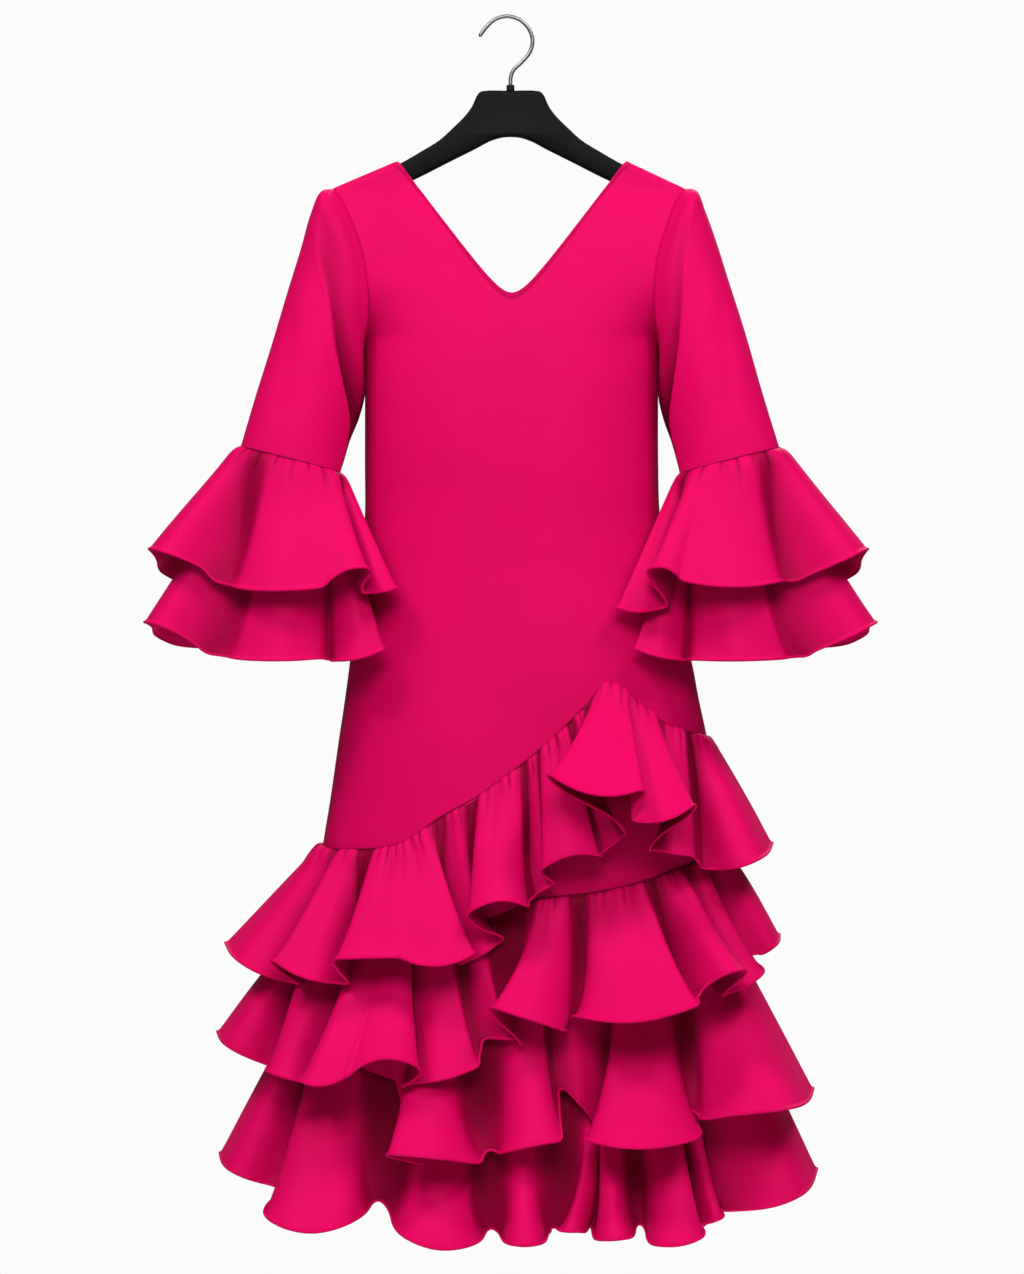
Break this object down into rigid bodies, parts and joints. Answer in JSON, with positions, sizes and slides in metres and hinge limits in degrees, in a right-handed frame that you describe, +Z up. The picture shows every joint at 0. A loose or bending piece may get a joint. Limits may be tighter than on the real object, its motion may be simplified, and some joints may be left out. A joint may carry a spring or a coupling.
{
  "type": "flamenco dress on a hanger",
  "caption": "Long fitted flamenco dress with a V neck, flared double cuffs and tiers of flounces that cross the skirt on a slant, hanging on a shoulder hanger.",
  "frame": {"origin": "the top of the inside of the hanger's hook, where it hangs on a rail", "axes": "+Z up, -Y out of the dress's front, +X towards the wearer's left"},
  "size_m": [0.8482, 0.4371, 1.3886],
  "materials": {
    "crepe": "smooth fuchsia crepe with a soft low sheen",
    "hanger_plastic": "satin black",
    "collar_plastic": "satin black",
    "hook_steel": "bright drawn wire"
  },
  "bodies": {
    "root": {"dress_front": "crepe", "dress_back": "crepe", "sleeve_right": "crepe", "sleeve_left": "crepe", "cuff_upper_right": "crepe", "cuff_upper_left": "crepe", "cuff_lower_right": "crepe", "cuff_lower_left": "crepe", "flounce_1_front": "crepe", "flounce_1_back": "crepe", "flounce_2_front": "crepe", "flounce_2_back": "crepe", "flounce_3_front": "crepe", "flounce_3_back": "crepe", "flounce_4_front": "crepe", "flounce_4_back": "crepe", "hanger": "hanger_plastic", "hook": "hook_steel", "hook_collar": "collar_plastic"}
  },
  "joints": []
}
